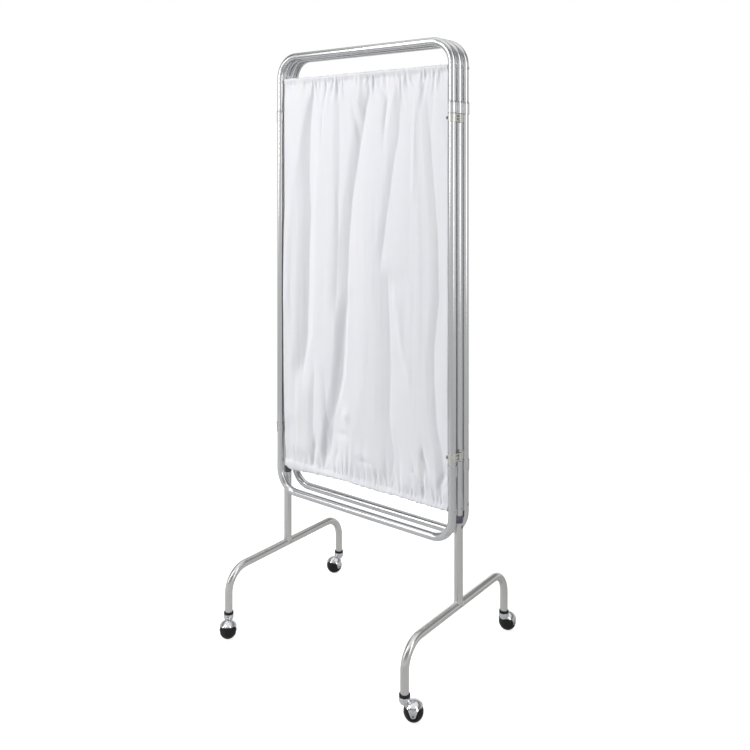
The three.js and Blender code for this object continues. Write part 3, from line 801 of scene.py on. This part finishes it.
def hood_neck(shape, ball, stem):
    """The neck, from the bowl on the dome to the top of the stem, kept out of the dome's inside."""
    bowl = []
    for step in range(NECK_STEPS + 1):
        turn = math.pi / 2 * step / NECK_STEPS
        radius = NECK_MIDDLE + (NECK_RADIUS - NECK_MIDDLE) * math.sin(turn)
        bowl.append((radius, NECK_SHOULDER - NECK_BOWL * math.cos(turn)))
    top = [(NECK_RADIUS, NECK_TOP), (STEM_RADIUS, NECK_TOP), (STEM_RADIUS, STEM_TOP), (NECK_MIDDLE, STEM_TOP)]
    outline = bowl[:-1] + rounded([bowl[-1], *top], NECK_ROUNDING)
    first = len(shape.points)
    shape.revolve(outline, on_floor(stem), UP, NECK_SIDES)
    nearest = HOOD_BORE + NECK_CLEARANCE
    for i in range(first, len(shape.points)):
        offset = shape.points[i] - ball
        if offset.length < nearest:
            shape.points[i] = ball + offset.normalized() * nearest


def caster_hood(node, ball, stem, trail, axle):
    """The chrome hood: a dome with a flat ear down to each end of the axle, and its neck."""
    shape = Shape()
    outside = hood_layer(shape, ball, trail, axle, HOOD_OUTER, EAR_FACE, HOOD_SHARES)
    inside = hood_layer(shape, ball, trail, axle, HOOD_BORE, EAR_FACE - HOOD_WALL, HOOD_SHARES[::-1])
    layers = outside + inside
    for near, far in zip(layers, layers[1:]):
        shape.bridge(far, near, HOOD_COLUMNS)
    shape.cap(layers[0], HOOD_COLUMNS)
    shape.cap(layers[-1], HOOD_COLUMNS, True)
    hood_neck(shape, ball, stem)
    stand_for(shape, node, sharp=26)


def caster_wheel(node, ball, axle):
    """A ball with a fine groove round its tread and a hub set into each side."""
    tread = math.asin(TREAD_HALF_WIDTH / BALL_RADIUS)
    hub = math.acos(HUB_RADIUS / BALL_RADIUS)
    half = []
    for i in range(BALL_STEPS + 1):
        angle = tread + (hub - tread) * i / BALL_STEPS
        half.append((BALL_RADIUS * (1 if i == 0 else math.cos(angle)), BALL_RADIUS * math.sin(angle)))
    face = half[-1][1]
    half += [
        (HUB_RADIUS - 0.6 * MM, face + 0.1 * MM),
        (HUB_RADIUS - 1.2 * MM, face - HUB_DEPTH),
        (3 * MM, face - HUB_DEPTH),
    ]
    groove = [(BALL_RADIUS, 0.5 * MM), (BALL_RADIUS - TREAD_GROOVE, 0.0), (BALL_RADIUS, -0.5 * MM)]
    outline = [(r, -a) for r, a in reversed(half)] + [(r, -a) for r, a in groove] + half
    stand_turned(node, outline, BALL_SIDES, ball, axle, sharp=40)


def caster_axle(node, ball, axle):
    half = [(radius * MM, EAR_FACE + beyond * MM) for radius, beyond in AXLE_END]
    stand_turned(node, [(r, -a) for r, a in reversed(half)] + half, SCREW_SIDES, ball, axle)


def caster_cap(node):
    """The black ring on the end of the leg, round the top of the hood's neck and stem."""
    outline = [
        (STEM_RADIUS + 0.3 * MM, RING_BOTTOM),
        (RING_FOOT_RADIUS, RING_BOTTOM),
        (RING_RADIUS, RING_BOTTOM + RING_FOOT_HEIGHT),
        (RING_RADIUS, RING_TOP),
        (RING_CUP, RING_TOP),
        (RING_CUP, RING_TOP - RING_CUP_DEPTH),
    ]
    stand_turned(node, rounded(outline, RING_ROUNDING), NECK_SIDES, cap_ends=False)


for side in SIDES:
    for end in ("front", "rear"):
        caster = f"{side}_{end}_caster"
        ball = centre_of(f"{caster}_wheel")
        ball.z = BALL_RADIUS
        stem = centre_of(f"{caster}_cap")
        trail = on_floor(ball - stem).normalized()
        axle = UP.cross(trail)
        caster_cap(f"{caster}_cap")
        caster_hood(f"{caster}_hood", ball, stem, trail, axle)
        caster_wheel(f"{caster}_wheel", ball, axle)
        caster_axle(f"{caster}_axle", ball, axle)


# Curtains

# Up to the last step, places on the cloth are in millimetres: across from the middle, up from the floor
CLOTH_THICKNESS = 0.6 * MM
CLOTH_COLUMNS = 290
CLOTH_ROWS = 134
# The rest of the rows are drawn towards the two seams
EVEN_ROWS = 0.45
SIDE_HEM_WIDTH = 11
SIDE_HEM_EDGE = 2
SIDE_HEM_STEP = 0.45

# The tunnels round the rods. Angles are in degrees up from straight forward
TUNNEL_RADIUS = 5.3
TUNNEL_STEPS = 10
TUNNEL_START = 205
TUNNEL_TURN = 230
TUNNEL_DROP = 13.5
TUNNEL_TAIL_SHARES = (0.35, 0.7, 1)
SEAM_GAP = 1.5
TOP_RUFFLE = 1.0
BOTTOM_RUFFLE = 1.5
RUFFLE_PITCH = 4.5
TUNNEL_WAVES = (0.8, 17, 1)
# The share of both that a tunnel has at its middle height
RUFFLE_SHARE = 0.65

# Folds, as (points down the fold, width left, width right, height). Ridges have positive heights
FOLDS = [
    ([(-177, 1628), (-186, 1575), (-196, 1469), (-200, 1336), (-195, 1229), (-202, 1122), (-207, 962),
      (-211, 848), (-226, 748)], 44, 100, -19),
    ([(-189, 1623), (-218, 1496), (-247, 1363), (-269, 1227), (-281, 1118), (-288, 954)], 16, 14, 5),
    ([(-147, 1599), (-154, 1468), (-161, 1336), (-172, 1230), (-179, 1124), (-179, 965), (-186, 848),
      (-228, 727), (-239, 599)], 13, 24, 4),
    ([(-167, 1630), (-154, 1568), (-147, 1520)], 10, 5, -4.5),
    ([(-126, 1627), (-140, 1546), (-147, 1484)], 6, 6, -4.5),
    ([(-85, 1627), (-75, 1569), (-75, 1440), (-79, 1233), (-81, 1129), (-88, 973)], 13, 34, -8),
    ([(38, 1634), (28, 1564), (8, 1470), (-34, 1260), (-48, 1131), (-51, 976), (-58, 932), (-64, 830),
      (-71, 748), (-108, 595), (-130, 474)], 34, 90, -17),
    ([(-44, 1036), (-50, 834), (-58, 741), (-84, 664), (-121, 572), (-129, 467)], 5, 20, 4),
    ([(-80, 1622), (-47, 1568), (-18, 1527), (8, 1480)], 18, 9, -4),
    ([(-60, 1625), (-20, 1575), (8, 1530)], 10, 12, 3.5),
    ([(56, 1628), (80, 1594), (101, 1555), (93, 1496)], 8, 10, -4.5),
    ([(130, 1628), (127, 1575), (103, 1458)], 10, 8, 4),
    ([(148, 1626), (151, 1582), (142, 1460), (121, 1362), (93, 1189), (80, 1113)], 24, 60, -8),
    ([(166, 1621), (189, 1582), (199, 1563), (197, 1455), (192, 1308)], 5, 7, 4),
    ([(163, 1612), (197, 1570)], 7, 6, -4),
    ([(231, 1630), (242, 1505), (257, 1362), (271, 1196), (276, 1008), (260, 874), (259, 789),
      (268, 662), (286, 588), (289, 506)], 26, 50, -7),
    ([(100, 1048), (112, 807), (106, 661), (124, 543), (106, 453)], 50, 90, -10),
    ([(130, 1002), (154, 861), (177, 797)], 14, 14, 5),
    ([(-179, 734), (-182, 583), (-176, 503), (-181, 444)], 20, 45, -6.5),
    ([(-137, 740), (-131, 680), (-128, 616), (-121, 566), (-131, 510), (-140, 455)], 18, 40, -6),
    ([(-55, 976), (-73, 830), (-104, 640), (-128, 474)], 26, 60, -5),
    ([(224, 567), (237, 531), (234, 494), (226, 448)], 20, 40, -7),
    ([(189, 520), (218, 490), (222, 449)], 9, 4, 4.5),
    ([(128, 480), (107, 456), (96, 442)], 7, 6, -6),
    ([(305, 512), (289, 496), (271, 468)], 8, 6, -4),
    ([(-172, 529), (-175, 503), (-181, 451)], 7, 7, -7),
    ([(-133, 548), (-136, 507), (-143, 458)], 8, 6, -8),
    ([(-88, 524), (-97, 493), (-93, 469)], 7, 7, -6),
    ([(224, 570), (236, 550), (239, 528)], 6, 6, -5),
    ([(191, 522), (216, 506), (232, 483), (228, 459)], 7, 6, -7),
    ([(237, 524), (230, 489)], 6, 8, 6),
    ([(297, 541), (275, 500), (269, 485)], 8, 10, -6),
    ([(-26, 1549), (-11, 1490), (-3, 1461)], 6, 10, -3.5),
    ([(106, 1591), (99, 1529), (88, 1444)], 8, 14, -5),
    ([(15, 1400), (24, 1042), (18, 780)], 14, 14, 1.5),
    ([(198, 1450), (210, 1160), (210, 900)], 12, 12, 1.5),
]
# From this width on both sides, a fold is sharp at its line and eases out. Narrower ones are round
SHARP_WIDTH = 15
SHARP_POWER = 1.4
ROUND_POWER = 1.6
# How a fold fades out past its ends, as (where it is gone, the length of the fade)
FADE_ABOVE = (45, 60)
FADE_BELOW = (75, 100)
# How strong the folds are, as (up, share): the cloth is drawn tighter towards the top
FOLD_STRENGTH = [(500, 0.92), (900, 0.92), (1150, 0.82), (1450, 0.6)]
# Within this distance of a seam the folds flatten, to this share at the seam
FOLD_START = 70
SEAM_SHARE = 0.25
FOLD_RISE = 6
FOLD_LIMIT = 17
# Dents and swells, as (across, up, half width, half height, height)
DENTS = [
    (-64, 577, 26, 8, -6),
    (-50, 637, 14, 17, 7),
    (20, 516, 32, 6, -4),
    (15, 538, 40, 13, 3),
    (42, 500, 50, 30, 5),
    (172, 474, 36, 27, 10),
    (-235, 500, 42, 26, 5),
    (-270, 560, 22, 40, -4),
    (-262, 610, 26, 18, 3.5),
]
# The cloth's left and right edges, as (up, across). The right one laps over the front of the tube
LEFT_EDGE = [
    (440, -296), (484, -291), (589, -295), (695, -298), (855, -300), (1040, -299), (1172, -297),
    (1243, -294), (1607, -296), (1640, -297),
]
RIGHT_EDGE = [(440, 304), (500, 307), (1590, 308), (1640, 304)]
LAP_CLEARANCE = 0.8
# How far the bottom tunnel hangs below its rod at the left, as (across, sag)
TUNNEL_SAG = [(-300, 1), (-290, 6), (-278, 13), (-250, 11), (-190, 6), (-120, 2), (-40, 0)]

# Where the cloth is drawn together at its two seams, and how many loose creases there are besides
TOP_GATHERS = [-214, -179, -150, -125, -99, -84, -62, 42, 52, 92, 130, 147, 166, 221, 234, 262]
BOTTOM_GATHERS = [-252, -182, -174, -150, -138, -92, -62, -44, 24, 62, 100, 148, 190, 226, 262, 284]
LOOSE_GATHERS = 26
LOOSE_PLACES = (-285, 290)
# Ranges of length and height of both kinds of crease, and of their width
PLACED_CREASES = ((28, 95), (1.5, 2.6))
LOOSE_CREASES = ((18, 60), (0.6, 1.3))
CREASE_WIDTHS = (2.2, 3.6)
CREASE_LEAN = 0.12
CREASE_WIDENING = 1.8
CREASE_SHOULDER = 0.55
SHOULDER_PLACE = 1.9

# Waves, as (height, pitch across, pitch down). Two of them reach only so far from a seam
NOISE_CELLS = 61
LONG_WAVES = (0.5, 15, 240)
SHORT_WAVES = (0.28, 7, 90)
SEAM_PUCKERS = (1.3, 6.5, 30)
PUCKER_REACH = 16
SEAM_WAVES = (1.1, 26, 45)
SEAM_WAVE_REACH = 50


def ease(value):
    value = np.clip(value, 0, 1)
    return value * value * (3 - 2 * value)


def waves(random, x, z, height, pitch_x, pitch_z):
    """Smooth random waves over arrays of places, with a pitch each way."""
    grid = random.uniform(-1, 1, (NOISE_CELLS, NOISE_CELLS))
    u, v = x / pitch_x, z / pitch_z
    i, j = np.floor(u).astype(int), np.floor(v).astype(int)
    across, down = ease(u - i), ease(v - j)
    value = 0
    for step_i, weight_i in ((0, 1 - across), (1, across)):
        for step_j, weight_j in ((0, 1 - down), (1, down)):
            corner = grid[(i + step_i) % NOISE_CELLS, (j + step_j) % NOISE_CELLS]
            value = value + weight_i * weight_j * corner
    return height * value


def traced_folds(x, z):
    """The long folds and the dents."""
    above, fade_above = FADE_ABOVE
    below, fade_below = FADE_BELOW
    forward = np.zeros_like(x)
    for points, left, right, height in FOLDS:
        across, up = np.array(sorted(points, key=lambda point: point[1]), float).T
        middle = np.interp(z, up, across)
        fade = ease((up[-1] + above - z) / fade_above) * ease((z - up[0] + below) / fade_below)
        away = np.abs(x - middle) / np.where(x < middle, left, right)
        if min(left, right) >= SHARP_WIDTH:
            profile = np.clip(1 - away, 0, 1) ** SHARP_POWER
        else:
            profile = np.exp(-(away**ROUND_POWER))
        forward += height * fade * profile
    for across, up, half_width, half_height, height in DENTS:
        forward += height * np.exp(-(((x - across) / half_width) ** 2) - ((z - up) / half_height) ** 2)
    return forward


def gathers(random, x, away, places):
    """Short creases that fan out from a seam."""
    forward = np.zeros_like(x)
    loose = random.uniform(*LOOSE_PLACES, LOOSE_GATHERS)
    creases = [(place, *PLACED_CREASES) for place in places] + [(place, *LOOSE_CREASES) for place in loose]
    for place, lengths, heights in creases:
        length = random.uniform(*lengths)
        lean = random.normal() * CREASE_LEAN
        width = random.uniform(*CREASE_WIDTHS)
        height = random.uniform(*heights)
        widening = 1 + CREASE_WIDENING * np.clip(away / length, 0, 2)
        offset = (x - place - lean * away) / (width * widening)
        crease = -height * np.exp(-offset * offset)
        shoulder = CREASE_SHOULDER * height * np.exp(-((np.abs(offset) - SHOULDER_PLACE) ** 2))
        forward += (crease + shoulder) * np.exp(-((away / length) ** 2))
    return forward


def cloth_forward(random, x, z, top, bottom):
    """How far the cloth stands forward of its rods, between its two seams."""
    below, above = top - z, z - bottom
    away = np.minimum(below, above)
    strength = np.interp(z, *zip(*FOLD_STRENGTH))
    near_seam = SEAM_SHARE + (1 - SEAM_SHARE) * ease(away / FOLD_START)
    forward = (FOLD_RISE + traced_folds(x, z) * strength) * near_seam
    forward = FOLD_LIMIT * np.tanh(forward / FOLD_LIMIT)
    forward += gathers(random, x, below, TOP_GATHERS) + gathers(random, x, above, BOTTOM_GATHERS)
    forward += waves(random, x, z, *LONG_WAVES) + waves(random, x, z, *SHORT_WAVES)
    forward += waves(random, x, z, *SEAM_PUCKERS) * np.exp(-away / PUCKER_REACH)
    forward += waves(random, x, z, *SEAM_WAVES) * np.exp(-away / SEAM_WAVE_REACH)
    return forward


def side_hems(x):
    """A low step along both edges, where the cloth is doubled."""
    edge = np.minimum(x - x[:, :1], x[:, -1:] - x)
    return SIDE_HEM_STEP * (1 - ease((edge - SIDE_HEM_WIDTH) / SIDE_HEM_EDGE))


def lapped(x, forward):
    """Keeps the cloth in front of the right tube, where it laps over it."""
    reach = (TUBE_RADIUS / MM + LAP_CLEARANCE) ** 2 - (HALF_PANEL / MM - x) ** 2
    over_tube = np.maximum(forward, np.sqrt(np.clip(reach, 0, None)))
    return np.where(reach > 0, over_tube, forward)


def tunnel_rows(random, x, rod_level, seam_forward, sag, up, ruffle):
    """The tunnel round a rod, from the seam behind it round the rod to the seam in front of it."""
    level_line = np.zeros_like(x)
    bumps = waves(random, x, level_line, ruffle, RUFFLE_PITCH, 1)
    bumps += waves(random, x, level_line, *TUNNEL_WAVES)
    rows = []
    for step in range(TUNNEL_STEPS + 1):
        angle = math.radians(TUNNEL_START - TUNNEL_TURN * step / TUNNEL_STEPS)
        radius = TUNNEL_RADIUS + bumps * (RUFFLE_SHARE + (1 - RUFFLE_SHARE) * math.sin(angle))
        level = rod_level + up * (radius + sag) * math.sin(angle)
        rows.append((radius * math.cos(angle), level))
    seam_level = np.full_like(x, rod_level - up * TUNNEL_DROP)
    tails = []
    for end, offset in ((rows[0], -SEAM_GAP), (rows[-1], 0)):
        seam = (seam_forward + offset, seam_level)
        tails.append([tuple(a + (b - a) * share for a, b in zip(end, seam)) for share in TUNNEL_TAIL_SHARES])
    behind, before = tails
    return [*reversed(behind), *rows, *before[:-1]]


def cloth_rows(random, top, bottom):
    """Rows of the whole sheet, down from the back of the top tunnel, as (across, forward, up) arrays."""
    steps = np.linspace(0, 1, CLOTH_ROWS)
    down = EVEN_ROWS * steps + (1 - EVEN_ROWS) * (1 - np.cos(math.pi * steps)) / 2
    seam_top, seam_bottom = top - TUNNEL_DROP, bottom + TUNNEL_DROP
    levels = seam_top + (seam_bottom - seam_top) * down
    left, right = (np.interp(levels, *zip(*edge))[:, None] for edge in (LEFT_EDGE, RIGHT_EDGE))
    x = left + (right - left) * np.linspace(0, 1, CLOTH_COLUMNS)
    z = np.repeat(levels[:, None], CLOTH_COLUMNS, axis=1)
    forward = lapped(x, cloth_forward(random, x, z, seam_top, seam_bottom) + side_hems(x))

    no_sag = np.zeros(CLOTH_COLUMNS)
    sag = np.interp(x[-1], *zip(*TUNNEL_SAG))
    above = tunnel_rows(random, x[0], top, forward[0], no_sag, 1, TOP_RUFFLE)
    below = tunnel_rows(random, x[-1], bottom, forward[-1], sag, -1, BOTTOM_RUFFLE)
    rows = [(x[0], *row) for row in above]
    rows += list(zip(x, forward, z))
    rows += [(x[-1], *row) for row in reversed(below)]
    return rows


def gathered_curtain(node, mirrored, seed):
    """A vinyl sheet gathered on two rods, with a stitched tunnel round each."""
    rods = [node.replace("curtain", rod) for rod in ("top_rod", "bottom_rod")]
    top_rod, bottom_rod = (centre_of(rod) for rod in rods)
    top, bottom = top_rod.z / MM, bottom_rod.z / MM
    flip = -1 if mirrored else 1
    shape = Shape()
    starts = []
    for row in cloth_rows(np.random.default_rng(seed), top, bottom):
        places = [Vector((flip * x * MM, top_rod.y - y * MM, z * MM)) for x, y, z in zip(*row)]
        starts.append(shape.ring(places))
    shape.join(starts, CLOTH_COLUMNS, closed=False)
    mesh = shape.mesh(f"{node}_sheet", sharp=180)
    piece = add_piece(f"{node}_sheet", mesh, node)
    thickness = piece.modifiers.new("thickness", "SOLIDIFY")
    thickness.thickness = CLOTH_THICKNESS
    thickness.offset = 0
    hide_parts(node)


gathered_curtain("front_curtain", mirrored=False, seed=11)
gathered_curtain("middle_curtain", mirrored=True, seed=23)
gathered_curtain("rear_curtain", mirrored=False, seed=37)


# Studio

WHITE = (1, 1, 1, 1)
FLOOR_RADIUS = 2.1
FLOOR_SIDES = 96
FLOOR_COLOUR = (0.6, 0.6, 0.6, 1)
# How strongly the floor glows where it is seen, and the share of it that shiny metal shows
FLOOR_GLOW = 0.8
FLOOR_IN_GLOSS = 0.08
# What shiny metal shows of the room, as (half of a direction's height plus a half, grey)
ROOM_GREYS = [
    (0.25, 0.4), (0.4, 0.54), (0.48, 0.66), (0.58, 0.62), (0.68, 0.32), (0.82, 0.2), (0.9, 0.85), (1.0, 1.0),
]
# The room's light on the object
ROOM_LIGHT = (0.18, 0.18, 0.18, 1)
# The backdrop in shiny metal, by the cosine between a direction and straight away from the camera
BACKDROP_START = 0.8
BACKDROP_FULL = 0.93
AWAY_FROM_CAMERA = Vector((-math.sin(CAMERA_YAW), math.cos(CAMERA_YAW), 0))
LIGHT_TARGET = Vector((0, 0, 1.2))
# Lights, as (name, degrees right of the camera, distance, height, size, radiance, seen in shiny metal)
LIGHTS = [
    ("left_softbox", -74, 4.5, 3.2, (4.4, 4.5), 3.0, False),
    ("rear_softbox", 170, 4.2, 2.3, (4.2, 3.6), 2.6, False),
    ("left_strip", -73, 3.0, 2.35, (0.65, 2.9), 3.0, True),
    ("front_strip", -48, 1.9, 2.0, (0.18, 1.4), 3.6, True),
    ("right_softbox", 42, 2.8, 2.05, (0.9, 3.0), 1.8, True),
]


def ray_kind(tree, output):
    return new_node(tree, "ShaderNodeLightPath", {}, output)


def math_value(tree, operation, first, second, clamp=True):
    inputs = {0: first, 1: second}
    return new_node(tree, "ShaderNodeMath", inputs, "Value", operation=operation, use_clamp=clamp)


def seen_directly(tree):
    """1 where the camera sees straight or through glass, and 0 elsewhere."""
    return math_value(tree, "ADD", ray_kind(tree, "Is Camera Ray"), ray_kind(tree, "Is Transmission Ray"))


def floor():
    """A round sheet of pale paper that keeps a soft shadow and looks white."""
    rim = [(FLOOR_RADIUS * c, FLOOR_RADIUS * s, 0) for c, s in unit_circle(FLOOR_SIDES)]
    mesh = bpy.data.meshes.new("floor")
    mesh.from_pydata(rim, [], [tuple(range(FLOOR_SIDES))])
    material, tree, shader = new_material("pale_paper")
    in_gloss = math_value(tree, "MULTIPLY", ray_kind(tree, "Is Glossy Ray"), FLOOR_IN_GLOSS)
    shown = math_value(tree, "ADD", seen_directly(tree), in_gloss)
    fill(tree, shader, {
        "Base Color": FLOOR_COLOUR,
        "Roughness": 0.9,
        "Specular IOR Level": 0.0,
        "Emission Color": WHITE,
        "Emission Strength": math_value(tree, "MULTIPLY", shown, FLOOR_GLOW),
    })
    mesh.materials.append(material)
    add_object("floor", mesh)


def softbox(name, turn, distance, height, size, radiance, in_gloss):
    direction = Matrix.Rotation(math.radians(turn), 3, "Z") @ -AWAY_FROM_CAMERA
    data = bpy.data.lights.new(name, "AREA")
    data.shape = "RECTANGLE"
    data.size, data.size_y = size
    data.energy = radiance * math.pi * size[0] * size[1]
    light = add_object(name, data)
    light.location = direction * distance + Vector((0, 0, height))
    light.rotation_euler = (LIGHT_TARGET - light.location).to_track_quat("-Z", "Y").to_euler()
    light.visible_camera = False
    light.visible_glossy = in_gloss


def room_in_gloss(tree):
    """A grey room that varies with height, and the white backdrop behind the object."""
    direction = new_node(tree, "ShaderNodeTexCoord", {}, "Generated")
    inputs = {0: direction, 1: AWAY_FROM_CAMERA}
    behind = new_node(tree, "ShaderNodeVectorMath", inputs, "Value", operation="DOT_PRODUCT")
    upward = new_node(tree, "ShaderNodeSeparateXYZ", {"Vector": direction}, "Z")
    halved = math_value(tree, "MULTIPLY", upward, 0.5, clamp=False)
    height = math_value(tree, "ADD", halved, 0.5)
    room = ramp(tree, height, [(place, (grey, grey, grey)) for place, grey in ROOM_GREYS])
    stops = [(BACKDROP_START, (0, 0, 0)), (BACKDROP_FULL, (1, 1, 1))]
    return mix_colours(tree, ramp(tree, behind, stops), room, WHITE)


def studio_world():
    """White where seen directly, a grey room in shiny metal, and a low light elsewhere."""
    world = bpy.data.worlds.new("studio")
    bpy.context.scene.world = world
    world.use_nodes = True
    tree = world.node_tree
    lit = mix_colours(tree, ray_kind(tree, "Is Glossy Ray"), ROOM_LIGHT, room_in_gloss(tree))
    shown = mix_colours(tree, seen_directly(tree), lit, WHITE)
    tree.links.new(shown, tree.nodes["Background"].inputs["Color"])


def camera():
    data = bpy.data.cameras.new("camera")
    data.sensor_width = CAMERA_SENSOR
    data.lens = CAMERA_LENS
    data.shift_y = CAMERA_SHIFT_Y
    made = add_object("camera", data)
    made.location = CAMERA_PLACE
    made.rotation_euler = (math.pi / 2, 0, CAMERA_YAW)
    bpy.context.scene.camera = made


floor()
studio_world()
for light in LIGHTS:
    softbox(*light)
camera()
bpy.context.scene.view_settings.view_transform = "Standard"
